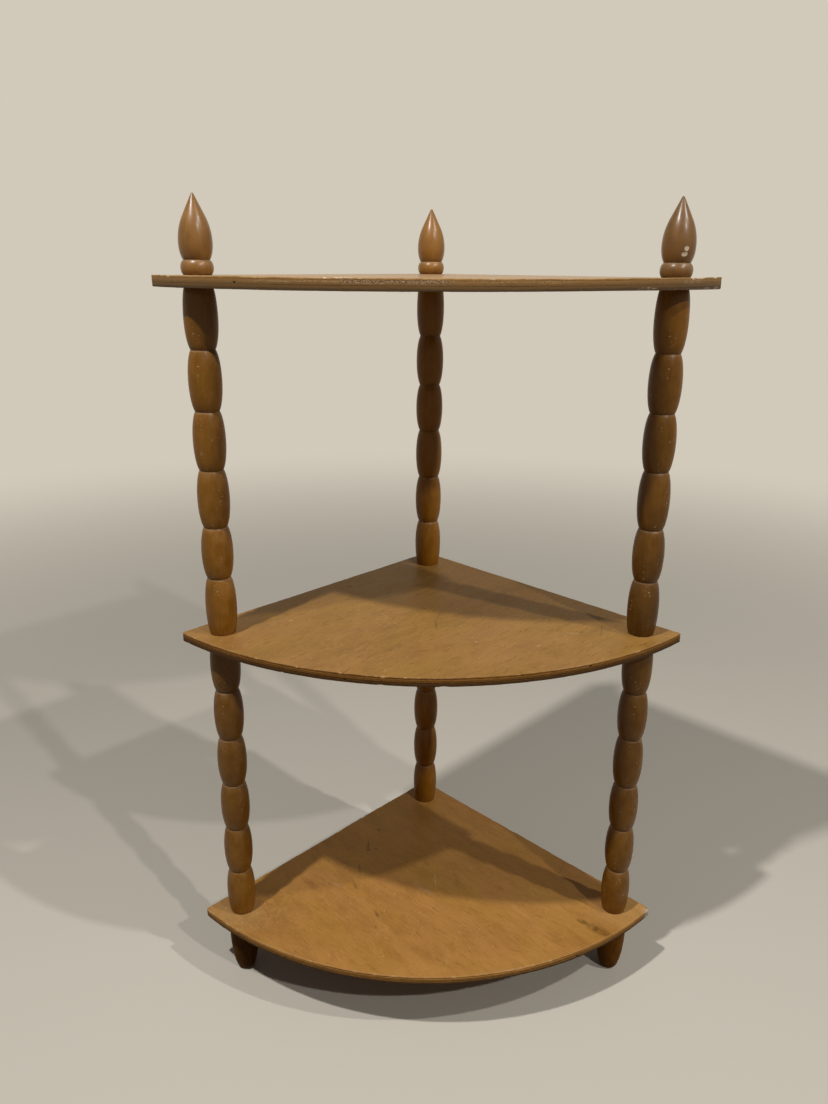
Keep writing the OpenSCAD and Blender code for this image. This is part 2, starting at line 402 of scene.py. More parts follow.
def scuffed_plies(n, place, height, plies, bands):
    """Lays bands of pale and dark crumbs over the plies."""
    spot = n.get("SeparateXYZ", {0: place})
    ragged = n.cloud(place, (120, 120, 300), 4.0)
    crumbs = n.cloud(place, (1400, 1400, 1900), 2.0, 0.6)
    level = n.calc("MULTIPLY_ADD", ragged, 0.0016, n.calc("SUBTRACT", height, 0.0008))
    for x, half, middle, tall, dark_share in bands:
        rough = n.times(n.spread(n.apart(spot, x * MM), half * MM, 0.6 * half * MM),
                        n.spread(n.apart(level, middle * MM), tall * MM, 0.3 * tall * MM))
        plies = n.paint(plies, CRUMB_PALE, rough, n.spread(crumbs, 0.5, 0.6, 0.0, 0.8))
        plies = n.paint(plies, CRUMB_DARK, rough, n.spread(crumbs, 0.52, 0.42, 0.0, dark_share))
    return plies


def marked_face(n, place, height, colour, face, dark_marks, pale_marks):
    """Lays dark and pale marks on the upper face alone; a few broad dark ones are painted shade."""
    torn = n.jolted(place, 420.0, 0.002)
    top = n.spread(height, 0.0062, 0.0066)
    patchy = n.cloud(place, (230, 230, 230), 4.0, 0.6)
    stains_and_shade = n.most(*(n.mark(torn, *row) for row in dark_marks))
    colour = n.paint(colour, tinted(face, (0.3, 0.27, 0.16)), stains_and_shade,
                     n.spread(patchy, 0.36, 0.6, 0.4, 1.15), top)
    scrape = n.most(*(n.mark(torn, *row) for row in pale_marks))
    return n.paint(colour, SCRAPED, scrape, top)


def board_wood(name, face, ply, tones, glue, rough_edge, fleck, dark_marks=(), pale_marks=(),
               satin=THIN_SATIN, bare=BARE, scuffed=()):
    """Stained plywood: a veneer face with flecks and marks, and plies that show on the edge.

    Tones are those of the plies from the lowest up, and glue is the share of a tone that is
    left on the lines between them. Satin is the coat's weight and roughness, bare the colour of
    rubbed arrises, and scuffed the (x, half length, height, half height, dark share) of rough
    bands on the edge."""
    n = Shader(bpy.data.materials.new(name))
    grain = n.attribute("grain", "Vector")
    place = n.place()
    height = n.get("SeparateXYZ", {0: grain}, 2)
    edge = n.attribute("edge")
    along = n.cloud(place, (300, 300, 2600), 3.0, 0.6)
    colour, mottle, streaks, pores = veneer(n, grain, face, fleck)
    plies = edge_plies(n, place, along, height, ply, tones, glue, rough_edge)
    if scuffed:
        plies = scuffed_plies(n, place, height, plies, scuffed)
    colour = n.paint(colour, plies, edge)
    if dark_marks:
        colour = marked_face(n, place, height, colour, face, dark_marks, pale_marks)

    # Knocks and rubbed edges show bare wood, and gaps in the inner plies get painted shade
    wear = n.times(n.attribute("wear"), n.spread(n.cloud(place, (900, 900, 900)), 0.25, 0.6))
    colour = n.paint(colour, bare, wear)
    colour = n.paint(colour, FRAYED, n.attribute("fray"), n.spread(along, 0.3, 0.6))
    colour = n.paint(colour, GAP_SHADE, n.attribute("gap"))
    on_face = n.calc("SUBTRACT", 1.0, edge)
    scattered = n.jolted(place, 600.0, 0.0016)
    dots = n.specks(scattered, 0.01, 0.00056, 0.3)
    colour = n.paint(colour, FACE_DOT, dots, on_face, 0.75)
    crumbs = n.specks(n.stretch(scattered, (1, 1, 1), (0.3, 0.2, 0.0)), 0.021, 0.00055, 0.3)
    colour = n.paint(colour, tinted(face, 0.3), crumbs, on_face, 0.6)

    rough = n.spread(mottle, 0.25, 0.75, 0.46, 0.6)
    rough = n.calc("MULTIPLY_ADD", n.most(edge, wear), 0.18, rough, clamp=True)
    lift = n.calc("MULTIPLY_ADD", streaks, 0.5, n.times(pores, -0.35))
    lift = n.calc("MULTIPLY_ADD", n.times(along, edge), 1.7 * rough_edge, lift)
    return n.finish("BsdfPrincipled", {
        "Base Color": colour, "Roughness": rough, "Normal": n.bump(lift, 0.3, 0.0003),
        "Specular IOR Level": 0.17, "Coat Weight": satin[0], "Coat Roughness": satin[1],
        "Coat IOR": LACQUER_IOR})


def zinc_steel():
    """Plain zinc-plated studs."""
    n = Shader(bpy.data.materials.new("zinc_steel"))
    scratch = n.cloud(n.place(), (900, 900, 9000))
    return n.finish("BsdfPrincipled", {
        "Base Color": n.grade(scratch, [(0.3, (0.45, 0.46, 0.48)), (0.7, (0.66, 0.67, 0.69))]),
        "Metallic": 1.0, "Normal": n.bump(scratch, 0.2, 0.0001),
        "Roughness": n.spread(scratch, 0.2, 0.8, 0.28, 0.45)})


# Meshes


def height_of(node):
    """Height of a CAD node, in millimetres."""
    low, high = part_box(node)
    return (high.z - low.z) / MM


def centre_of(node):
    low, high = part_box(node)
    return (low + high) / 2


def new_object(name, data):
    made = bpy.data.objects.new(name, data)
    bpy.context.scene.collection.objects.link(made)
    return made


def make_piece(name, mesh, node, material):
    """Puts a finished mesh, in metres, in the scene as the piece that stands for a CAD node."""
    piece = new_object(name, mesh)
    mesh.materials.append(material)
    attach(piece, "root")
    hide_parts(node)
    return piece


def keep_attributes(mesh, **values):
    """Stores each vertex's numbers or vectors, with zeros for the last ones that have none."""
    for name, data in values.items():
        size, kind, field = ((3, "FLOAT_VECTOR", "vector") if data.shape[1:] == (3,)
                             else (1, "FLOAT", "value"))
        full = np.zeros(size * len(mesh.vertices), np.float32)
        full[:data.size] = data.ravel()
        mesh.attributes.new(name, kind, "POINT").data.foreach_set(field, full)


def following(loop):
    """Pairs of neighbours, once round a closed loop."""
    return zip(loop, loop[1:] + loop[:1])


def quads(rows):
    """Corners of the faces between neighbouring rows, each a closed loop."""
    for first, second in zip(rows, rows[1:]):
        for (a, d), (b, c) in zip(following(first), following(second)):
            yield a, b, c, d


def circle(built, x, y, z, radius, segments):
    """New vertices of a level circle, in metres."""
    return [built.verts.new((x + radius * math.cos(a), y + radius * math.sin(a), z))
            for a in np.linspace(0, FULL_TURN, segments, endpoint=False)]


def swell_radius(s, h, r_mid, r_end, run_on):
    """Radius at a distance s from the widest point of half a swelling of height h."""
    bulge = (r_mid - r_end) / (1 - math.sqrt(1 - 1 / run_on ** 2))
    return r_mid - bulge * (1 - math.sqrt(max(0.0, 1 - (s / (h * run_on)) ** 2)))


def eased_steps(count):
    """Numbers from -1 to 1, closer together near both ends."""
    return [math.sin(math.pi / 2 * v) for v in np.linspace(-1, 1, count)]


def spindle_profile(h, rng, shifts):
    """Outline points (radius, height) of a bobbin spindle, and the heights of its grooves.

    Shifts are how far each groove, from the lowest up, stands above its even place."""
    levels = [0.0] + [h * i / BOBBINS + shift for i, shift in enumerate(shifts, 1)] + [h]
    points = []
    for i in range(BOBBINS):
        low = END_R if i == 0 else NECK_R
        high = END_R if i == BOBBINS - 1 else NECK_R
        belly = BELLY_R - rng.uniform(0.0, 0.08)
        half = (levels[i + 1] - levels[i]) / 2
        middle = (levels[i + 1] + levels[i]) / 2
        for u in eased_steps(41)[0 if i == 0 else 1:]:
            end = low if u < 0 else high
            points.append((swell_radius(abs(u) * half, half, belly, end, CRISP),
                           middle + u * half))
    return points, levels[1:-1]


def finial_profile(h):
    """Outline points of a ring bead with a flame above it."""
    half = BEAD_H / 2
    points = []
    for u in eased_steps(27):
        end = BEAD_FOOT_R if u < 0 else GROOVE_R
        points.append((swell_radius(abs(u) * half, half, BEAD_R, end, SOFT), half + u * half))
    belly_z = BEAD_H + FLAME_LOW_H
    for v in np.linspace(1, 0, 24)[1:]:
        s = FLAME_LOW_H * v ** 1.3
        points.append((swell_radius(s, FLAME_LOW_H, FLAME_R, GROOVE_R, SOFT), belly_z - s))
    c, s = math.cos(FLANK_ANGLE), math.sin(FLANK_ANGLE)
    tip = FLAME_TIP_R
    flank_r = ((h - belly_z - tip) * s + tip - FLAME_R * c) / (1 - c)
    for a in np.linspace(0, FLANK_ANGLE, 40)[1:]:
        points.append((FLAME_R - flank_r * (1 - math.cos(a)), belly_z + flank_r * math.sin(a)))
    for a in np.linspace(FLANK_ANGLE, math.pi / 2, 8)[1:-1]:
        points.append((tip * math.cos(a), h - tip + tip * math.sin(a)))
    return points


def foot_profile(h):
    """Outline points of a tapered peg foot with a bevelled sole."""
    belly_z = h - FOOT_BELLY_DROP
    sole_r = FOOT_TOE_R - TOE_BEVEL
    points = []
    for z in [0.0, 0.4, 0.8, 1.1, 1.3, 1.6] + list(np.linspace(2.2, belly_z, 30)):
        r = swell_radius(belly_z - z, belly_z, FOOT_BELLY_R, FOOT_TOE_R, CRISP)
        points.append((min(r, sole_r + z), z))
    for z in np.linspace(belly_z, h, 20)[1:]:
        points.append((swell_radius(z - belly_z, FOOT_BELLY_DROP, FOOT_BELLY_R, FOOT_TOP_R, CRISP),
                       z))
    return points


class Turning:
    """Grid of points round an axis: a row for each ring of a turned outline and its bores."""

    def __init__(self, profile, h, segments, bore_low, bore_high):
        rings = list(profile)
        first = 0
        self.h, self.start, self.end = h, rings[0][1], h
        if bore_low:
            rings = [(BORE_R, BORE_DEPTH), (BORE_R, 0.0)] + rings
            first, self.start = 2, BORE_DEPTH
        if bore_high:
            rings += [(BORE_R, h), (BORE_R, h - BORE_DEPTH)]
            self.end = h - BORE_DEPTH
        self.outline = np.array(profile)
        self.radii, self.heights = (np.repeat(v[:, None], segments, 1) for v in np.array(rings).T)
        turn = np.linspace(0, FULL_TURN, segments, endpoint=False)
        self.turn = np.tile(turn, (len(rings), 1))
        self.surface = np.zeros((len(rings), 1))
        self.surface[first:first + len(profile)] = 1.0

    def flat(self):
        return self.radii * np.cos(self.turn), self.radii * np.sin(self.turn)

    def knock(self, angle, spot, size):
        """How near points are to a knock: 1 at its centre, 0 at its rim."""
        x, y = self.flat()
        r = float(np.interp(spot, self.outline[:, 1], self.outline[:, 0]))
        far = np.sqrt((x - r * math.cos(angle)) ** 2 + (y - r * math.sin(angle)) ** 2
                      + (self.heights - spot) ** 2) / size
        return np.clip(1 - far ** 2, 0, 1) ** 1.5

    def worn(self, rng, dents, chips):
        """Makes the piece a little out of round, dents and chips it, and returns the wear."""
        phase = [rng.uniform(0, FULL_TURN) for _ in range(4)]
        oval = 0.5 + 0.25 * np.sin(2 * self.turn + phase[0] + self.heights / 31)
        oval += 0.25 * np.sin(3 * self.turn + phase[1] - self.heights / 17)
        inset = 0.06 * oval * self.surface
        wear = np.zeros_like(self.radii)
        for _ in range(dents):
            angle, spot = rng.uniform(0, FULL_TURN), rng.uniform(0.04, 0.97) * self.h
            near = self.knock(angle, spot, rng.uniform(0.9, 2.2))
            inset += near * rng.uniform(0.06, 0.2) * self.surface
            wear = np.maximum(wear, near * rng.uniform(0.0, 0.3))
        for angle, spot, size, depth in chips:
            near = self.knock(math.radians(angle), spot, size)
            inset += np.minimum(1.0, 2.2 * near) * depth * self.surface
            wear = np.maximum(wear, np.minimum(1.0, 3 * near))
        self.radii = self.radii - inset * np.clip(self.radii / 3, 0, 1)
        return wear

    def groove_marks(self, rng, grooves, painted_sheen_strength):
        """Dusty line and painted highlight just below each groove, grime and painted shade in and
        above it and at both seats, and painted sheen on the upper shoulders.
        """
        dust, dirt, haze = (np.zeros_like(self.radii) for _ in range(3))
        for level in grooves:
            over = self.heights - level
            strength = rng.uniform(0.6, 1.0)
            fall = 0.62 + (0.38 * np.sin(self.turn + rng.uniform(0, 6.3))
                           * rng.uniform(0.3, 1.0))
            dust = np.maximum(dust, strength * fall * np.exp(-((over + 0.55) / 0.5) ** 2))
            dirt = np.maximum(dirt, np.exp(-np.abs(over) / np.where(over > -0.1, 1.3, 0.2)))
        # Painted sheen on each upper shoulder, below every groove and below the top
        for level in [*grooves, self.h]:
            below = level - self.heights
            haze = np.maximum(haze, np.where(below > 0, np.exp(-((below - 1.6) / 4.2) ** 2), 0.0))
        haze = (painted_sheen_strength * (0.3 + 0.7 * haze)
                * (0.7 + 0.3 * np.sin(self.turn + rng.uniform(0, 6.3))))
        # Painted shade, with some dirt, at both seats where the piece meets the next part
        for level in (0.0, self.h):
            dirt = np.maximum(dirt, 0.55 * np.exp(-np.abs(self.heights - level) / 1.6))
        return dust, dirt, haze

    def solid(self):
        """Points and faces of the closed solid; its last two points close the ends."""
        points = np.stack([*self.flat(), self.heights], axis=-1).reshape(-1, 3)
        points = np.concatenate([points, [[0, 0, self.start], [0, 0, self.end]]])
        bottom, top = len(points) - 2, len(points) - 1
        rows = np.arange(self.radii.size).reshape(self.radii.shape).tolist()
        faces = [(a, d, c, b) for a, b, c, d in quads(rows)]
        faces += [(bottom, b, a) for a, b in following(rows[0])]
        faces += [(top, a, b) for a, b in following(rows[-1])]
        return points, faces


def turned_piece(node, material, profile, grooves, seed, dents=0, chips=(),
                 segments=COLUMN_SEGMENTS, bore_low=False, bore_high=False):
    """Turns an outline into a closed solid on its column, with bores, slight dents and wear.

    Chips are (angle in degrees from +X, height, radius, depth), in millimetres."""
    rng = random.Random(seed)
    tone, nicked, painted_sheen_strength = COLUMN_LOOKS[node]
    turning = Turning(profile, height_of(node), segments, bore_low, bore_high)
    wear = turning.worn(rng, dents, chips)
    dust, dirt, haze = turning.groove_marks(rng, grooves, painted_sheen_strength)
    points, faces = turning.solid()

    name = node + "_turned"
    mesh = bpy.data.meshes.new(name)
    centre = centre_of(node)
    world = points * MM + np.array([centre.x, centre.y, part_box(node)[0].z])
    mesh.from_pydata(world.tolist(), [], faces)
    mesh.validate()
    turned_by = rng.uniform(0, FULL_TURN)
    pith = rng.uniform(0.022, 0.045)
    c, s = math.cos(turned_by), math.sin(turned_by)
    own = np.stack([(points[:, 0] * c - points[:, 1] * s) * MM + pith,
                    (points[:, 0] * s + points[:, 1] * c) * MM,
                    points[:, 2] * MM + rng.uniform(0, 3)], axis=-1)
    keep_attributes(mesh, grain=own, tone=np.interp(points[:, 2], (0, turning.h), tone),
                    nicked=np.full(len(points), nicked), skin=points * MM, haze=haze, wear=wear,
                    dust=dust, dirt=dirt)
    mesh.shade_smooth()
    mesh.set_sharp_from_angle(angle=SHARP_ANGLE)
    return make_piece(name, mesh, node, material)


def plan_outline():
    """Outline of a shelf seen from above: points and outward normals, in millimetres."""
    root2 = math.sqrt(2)
    arc_back = math.sqrt(FRONT_RADIUS ** 2 - SHELF_SIDE ** 2 / 2) - SHELF_SIDE / root2
    corner_cut = TIP_R * (root2 - 1)
    corner_y = (FRONT_RADIUS - arc_back - corner_cut) / 2 + corner_cut
    arc_y = corner_y + arc_back
    inner = FRONT_RADIUS - TIP_R
    along = math.sqrt(inner ** 2 - (TIP_R + arc_back / root2) ** 2) - arc_back / root2
    tip = np.array([(along - TIP_R) / root2, corner_y - (along + TIP_R) / root2])
    corner = np.array([0.0, corner_y - TIP_R * root2])
    turn = math.atan2(tip[1] - arc_y, tip[0])

    points, normals = [], []

    def run(centre, radius, a, b, steps):
        for t in np.linspace(a, b, steps, endpoint=False):
            n = np.array([math.cos(t), math.sin(t)])
            points.append(centre + radius * n)
            normals.append(n)

    def straight(start, stop, normal):
        start, stop = start + TIP_R * normal, stop + TIP_R * normal
        steps = int(np.linalg.norm(stop - start) / BACK_STEP)
        for t in np.linspace(0, 1, steps, endpoint=False):
            points.append(start + (stop - start) * t)
            normals.append(normal)

    quarter = math.pi / 4
    left_tip = tip * np.array([-1, 1])
    right_n = np.array([1, 1]) / root2
    left_n = np.array([-1, 1]) / root2
    steps = int(FRONT_RADIUS * 2 * (math.pi / 2 + turn) / FRONT_STEP)
    run(np.array([0, arc_y]), FRONT_RADIUS, -math.pi - turn, turn, steps)
    run(tip, TIP_R, turn, quarter, 12)
    straight(tip, corner, right_n)
    run(corner, TIP_R, quarter, 3 * quarter, 10)
    straight(corner, left_tip, left_n)
    run(left_tip, TIP_R, 3 * quarter, math.pi - turn, 12)
    return np.array(points), np.array(normals)


# Rows of the strip that wraps a board's edge, and how far each ply stands back, in millimetres
FACE_INSETS = (2.3, 1.8, 1.4, 1.05, 0.75, 0.5, 0.25, 0.0)
SIDE_LEVELS = (6.75, 6.5, 6.2, 5.95, 5.72, 5.6, 5.48, 5.15, 4.7, 4.32, 4.2, 4.08, 3.7, 3.3, 2.92,
               2.8, 2.68, 2.3, 1.85, 1.52, 1.4, 1.28, 1.05, 0.8, 0.5, 0.25)
PLY_RELIEF = (0.05, 0.16, 0.03, 0.16, 0.05)
GLUE_RELIEF = 0.14
SMALL_KNOCKS = 26


class Rim:
    """A shelf's outline, walked once round, with random numbers of its own."""

    def __init__(self, seed):
        self.plan, self.normals = plan_outline()
        steps = np.linalg.norm(np.diff(self.plan, axis=0), axis=1)
        self.walked = np.concatenate([[0.0], np.cumsum(steps)])
        self.length = self.walked[-1] + np.linalg.norm(self.plan[0] - self.plan[-1])
        self.across = self.plan[:, 0]
        self.front = self.normals[:, 1] < -0.3
        self.rng = np.random.default_rng(seed)

    def wander(self, period):
        """Smooth random numbers from -1 to 1 along the rim, with a bend in each period."""
        count = max(4, round(self.length / period))
        knots = self.rng.uniform(-1, 1, count)
        t = self.walked / self.length * count
        i = np.floor(t).astype(int)
        f = t - i
        f = f * f * (3 - 2 * f)
        return knots[i % count] * (1 - f) + knots[(i + 1) % count] * f

    def rubbed(self, amount):
        """How much of an arris is rubbed away, along the rim."""
        cut = amount * (0.75 + 0.35 * self.wander(34) + 0.22 * self.wander(7)
                        + 0.16 * self.wander(2.2))
        return np.maximum(cut, 0.25)

    def worn_arrises(self, arris, chips, ragged_tip):
        """Cuts on the upper (1) and the lower (0) arris, how fresh they are, and the frayed tip."""
        cuts = {1: self.rubbed(arris), 0: self.rubbed(0.7 * arris)}
        fresh = {side: np.zeros(len(self.plan)) for side in cuts}
        for x, half, depth, side in chips:
            near = np.clip(1 - ((self.across - x) / half) ** 2, 0, 1) * self.front
            near *= 0.75 + 0.25 * self.wander(1.6)
            cuts[side] = np.maximum(cuts[side], depth * np.sqrt(np.clip(near, 0, 1)))
            fresh[side] = np.maximum(fresh[side], np.clip(near * 2.5, 0, 1))
        for _ in range(SMALL_KNOCKS):
            spot, half = self.rng.uniform(0, self.length), self.rng.uniform(0.8, 2.6)
            away = np.abs(self.walked - spot)
            near = np.clip(1 - (np.minimum(away, self.length - away) / half) ** 2, 0, 1)
            depth = self.rng.uniform(0.6, 1.25) * arris + 0.3
            side = int(self.rng.uniform() < 0.6)
            cuts[side] = np.maximum(cuts[side], depth * np.sqrt(near))
            fresh[side] = np.maximum(fresh[side], near * self.rng.uniform(0.2, 0.9))
        tip_zone = np.zeros(len(self.plan))
        if ragged_tip:
            tip = self.walked[np.argmax(self.across)]
            tip_zone = np.exp(-((self.walked - tip + 2.0) / 5.0) ** 2)
            cuts[1] = cuts[1] + tip_zone * (0.8 + 0.7 * self.wander(1.3))
        return cuts, fresh, tip_zone

    def swelling(self, swollen):
        """How far the edge's upper and lower arris stand out of the board's faces."""
        x, up, down = np.array(swollen).T
        reach = np.clip(0.5 - 0.7 * self.normals[:, 1], 0, 1)
        return np.interp(self.across, x, up) * reach, np.interp(self.across, x, down) * reach


def board_rows(thick):
    """(inset, height) of each row of the strip that wraps the edge, from top face to bottom."""
    rows = [(inset, thick) for inset in FACE_INSETS]
    rows += [(0.0, z) for z in SIDE_LEVELS]
    return rows + [(inset, 0.0) for inset in reversed(FACE_INSETS)]


def ply_relief(z, thick, bold, waves, saw):
    """How far the edge stands back at a height, by its ply and the lines of glue."""
    share = z / (thick / PLY_COUNT)
    relief = bold * PLY_RELIEF[min(PLY_COUNT - 1, int(share))]
    relief = relief * (1 + 0.6 * waves[0] + 0.5 * waves[1])
    if abs(share - round(share)) < 0.02:
        relief = relief + GLUE_RELIEF * bold
    return (np.maximum(relief, 0.0) + 0.04 * (1 + saw)) * min(1.0, min(z, thick - z) / 0.7)


def edge_strip(rim, thick, arris, chips, gaps, ragged_tip=False, bold=1.0, swollen=((0, 0, 0),)):
    """Points of the strip round the edge, their heights before it swelled, and its marks.

    Arris is how much its arrises are rubbed away. Chips are (x on the front arc, half length,
    depth, 1 for the upper arris or 0 for the lower), and gaps are (x on the front arc, half
    length, ply counted from below, depth). Bold is how strongly the plies and the lines between
    them stand out. Swollen is how far the front arrises stand up and down, as (x, up, down)."""
    cuts, fresh, tip_zone = rim.worn_arrises(arris, chips, ragged_tip)
    swell_up, swell_down = rim.swelling(swollen)
    rows = board_rows(thick)
    count = len(rim.plan)
    grid = np.zeros((len(rows), count, 3))
    heights, wear, edge, gap, fray = (np.zeros((len(rows), count)) for _ in range(5))
    waves = [(rim.wander(11), rim.wander(2.4)) for _ in range(PLY_COUNT)]
    saw = rim.wander(19)
    ply = thick / PLY_COUNT
    for i, (d, z) in enumerate(rows):
        inset, level = np.full(count, d), np.full(count, z)
        if d == 0.0 and 0.0 < z < thick:
            index = min(PLY_COUNT - 1, int(z / ply))
            inset += ply_relief(z, thick, bold, waves[index], saw)
            for x, half, which, depth in gaps:
                if which * ply + 0.1 < z < (which + 1) * ply - 0.1:
                    ends = np.abs(rim.across - x) / half + 0.12 * waves[index][1]
                    near = np.clip((1 - ends) * 5, 0, 1) * rim.front
                    inset += near * depth
                    gap[i] = np.maximum(gap[i], near)
            edge[i] = 1.0
        else:
            edge[i] = np.clip(1 - d / 0.35, 0, 1) * 0.8
        for side, arris_z, inward in ((1, thick, -0.5), (0, 0.0, 0.5)):
            short = np.clip(cuts[side] - (inset + np.abs(arris_z - level)), 0, None)
            inset = inset + 0.5 * short
            level = level + inward * short
            rub = np.clip(short / 0.35, 0, 1)
            wear[i] = np.maximum(wear[i], rub * (0.28 + 0.72 * fresh[side]))
        fray[i] = tip_zone * np.clip(edge[i] + 0.3, 0, 1)
        heights[i] = level
        grid[i, :, :2] = rim.plan - rim.normals * inset[:, None]
        grid[i, :, 2] = level + (1 - d / FACE_INSETS[0]) * (
            swell_up * z / thick - swell_down * (1 - z / thick))
    return grid, heights, {"wear": wear, "edge": edge, "gap": gap, "fray": fray}


def board_mesh(name, grid, base, thick):
    """Closes the strip with both faces and three holes; base is the underside's height."""
    built = bmesh.new()
    lift = np.array([0, 0, base])
    rows = [[built.verts.new(tuple(p * MM + lift)) for p in row] for row in grid]
    for corners in quads(rows):
        built.faces.new(corners).smooth = True
    bounds = {thick: [rows[0]], 0.0: [rows[-1]]}
    for foot in ("foot_left", "foot_right", "foot_back"):
        centre = centre_of(foot)
        rims = [circle(built, centre.x, centre.y, base + level * MM, HOLE_R * MM, HOLE_SEGMENTS)
                for level in bounds]
        for loops, rim in zip(bounds.values(), rims):
            loops.append(rim)
        for a, b, c, d in quads(rims):
            built.faces.new((a, d, c, b))
    for level, loops in bounds.items():
        edges = [built.edges.get(pair) or built.edges.new(pair)
                 for loop in loops for pair in following(loop)]
        bmesh.ops.triangle_fill(built, edges=edges, use_beauty=True, use_dissolve=False,
                                normal=(0, 0, 1 if level else -1))
    bmesh.ops.recalc_face_normals(built, faces=built.faces)
    mesh = bpy.data.meshes.new(name)
    built.to_mesh(mesh)
    built.free()
    return mesh


def board_piece(node, material, seed, grain_turn, **edge):
    """Plywood board with a worn edge, whose settings are those of edge_strip."""
    base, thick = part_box(node)[0].z, height_of(node)
    grid, heights, marks = edge_strip(Rim(seed), thick, **edge)
    name = node + "_board"
    mesh = board_mesh(name, grid, base, thick)
    where = np.empty(len(mesh.vertices) * 3)
    mesh.vertices.foreach_get("co", where)
    where = where.reshape(-1, 3)
    c, t = math.cos(math.radians(grain_turn)), math.sin(math.radians(grain_turn))
    own = np.stack([where[:, 0] * c + where[:, 1] * t + 1.7 * seed,
                    -where[:, 0] * t + where[:, 1] * c + 0.9 * seed,
                    where[:, 2] - base], axis=-1)
    own[:heights.size, 2] = heights.ravel() * MM
    keep_attributes(mesh, grain=own, **marks)
    return make_piece(name, mesh, node, material)


# Stage: camera, lamps, room and floor


def make_camera():
    data = bpy.data.cameras.new("photo_camera")
    data.sensor_width = 36
    data.sensor_fit = "AUTO"
    data.lens = data.sensor_width * FOCAL_PIXELS / max(PHOTO_W, PHOTO_H)
    data.clip_start, data.clip_end = 0.02, 60
    placed = Matrix.Translation(Vector(CAMERA_AT) * MM)
    for angle, axis in ((-CAMERA_YAW, "Z"), (90 - CAMERA_DOWN, "X"), (CAMERA_ROLL, "Z")):
        placed = placed @ Matrix.Rotation(math.radians(angle), 4, axis)
    camera = new_object("photo_camera", data)
    camera.matrix_world = placed
    bpy.context.scene.camera = camera


def make_lamps():
    """Small round lamps that together light a level board so that a colour renders as written."""
    for name, (place, share) in LAMPS.items():
        at = Vector(place) * MM
        ray = Vector(LAMPS_AIM_AT) - at
        steep = abs(ray.z) / ray.length
        data = bpy.data.lights.new(name, "AREA")
        data.shape = "DISK"
        data.size = LAMP_SIZE
        data.energy = math.pi ** 2 * share / steep * ray.length ** 2
        lamp = new_object(name, data)
        lamp.location = at
        lamp.rotation_mode = "QUATERNION"
        lamp.rotation_quaternion = ray.to_track_quat("-Z", "Y")
        lamp.visible_camera = False


def seen_rays(n):
    """1 for rays from the camera, a reflection or a transmission, and 0 for light."""
    path = n.add("LightPath", {}).outputs
    return n.most(path["Is Camera Ray"], path["Is Glossy Ray"], path["Is Transmission Ray"])


def make_room():
    world = bpy.data.worlds.new("room")
    bpy.context.scene.world = world
    n = Shader(world)
    soft = n.get("Background", {"Color": (1, 1, 1), "Strength": ROOM_LIGHT})
    pale = n.get("Background", {"Color": PALE, "Strength": 1.0})
    n.add("OutputWorld", {"Surface": n.get("MixShader", {0: seen_rays(n), 1: soft, 2: pale})})


def make_floor():
    """Plain pale disc that fades into the room's colour far from the stand."""
    built = bmesh.new()
    built.faces.new(circle(built, 0, 0, 0, FLOOR_RADIUS, FLOOR_SEGMENTS))
    mesh = bpy.data.meshes.new("floor")
    built.to_mesh(mesh)
    built.free()
    n = Shader(bpy.data.materials.new("pale_floor"))
    diffuse = n.get("BsdfDiffuse", {"Color": n.blend(seen_rays(n), FLOOR_UNSEEN, PALE)})
    fade = n.spread(n.length(n.place()), *FLOOR_FADE)
    clear = n.get("BsdfTransparent", {})
    mesh.materials.append(n.finish("MixShader", {0: fade, 1: diffuse, 2: clear}))
    floor = new_object("floor", mesh)


# Marks on the boards, in millimetres and degrees: (x, y, half length, half width, angle,
# softness, strength, and True for a ring)
LOW_DARK = [
    (-56, 26.5, 0.8, 7.5, -1, 0.45, 0.72), (-55.9, 19.5, 2, 1.5, 0, 0.5, 0.8),
    (-48.7, 21.7, 1.7, 1.4, 0, 0.5, 0.75), (-46.1, 50.4, 1.9, 2, 0, 0.7, 0.55),
    (-62.5, -7, 1, 5.5, 8, 0.6, 0.55), (-65.5, -28.9, 1.2, 6.5, 24, 0.7, 0.4),
    # The broad soft dark patches at (-152, -62) and (22, -104) are painted shade over the board's
    # left and the middle of its front
    (-105.8, -26.9, 7.5, 3.2, -42, 0.8, 0.34), (-152, -62, 40, 30, -20, 0.9, 0.32),
    (22, -104, 74, 34, 0, 0.9, 0.05), (-44.6, -65.5, 1.3, 4.6, 20, 0.5, 0.62),
    (-45.1, -79.8, 1, 2, 20, 0.5, 0.45), (15, -22, 13, 12, 0, 0.22, 0.09, True),
    (131.5, -74.6, 5.4, 2.4, -35, 0.6, 0.66), (143, -84, 10, 3.8, -37, 0.7, 0.72),
    (125.4, -5.2, 0.6, 8.5, -26, 0.6, 0.4), (4.6, -57.6, 1.1, 1, 0, 0.5, 0.55),
]
LOW_PALE = [
    (7, -22, 0.6, 9, 2, 0.6, 0.34), (-82.4, -27.8, 3.6, 1.6, -30, 0.9, 0.22),
    (-4, -34, 9, 2.4, -40, 0.9, 0.16), (-168, -60, 24, 15, -35, 0.9, 0.18),
    (168, -60, 22, 14, 35, 0.9, 0.14),
]
MIDDLE_DARK = [
    (-69.8, 41.3, 2.8, 2.4, 0, 0.6, 0.42), (5.6, -26.5, 0.55, 9.5, -17, 0.6, 0.52),
    (3.4, -42.5, 0.55, 8.5, 1, 0.6, 0.55), (132.4, -51, 0.6, 13, -16, 0.7, 0.34),
    (73, -86.3, 12, 7, 20, 0.9, 0.2),
]
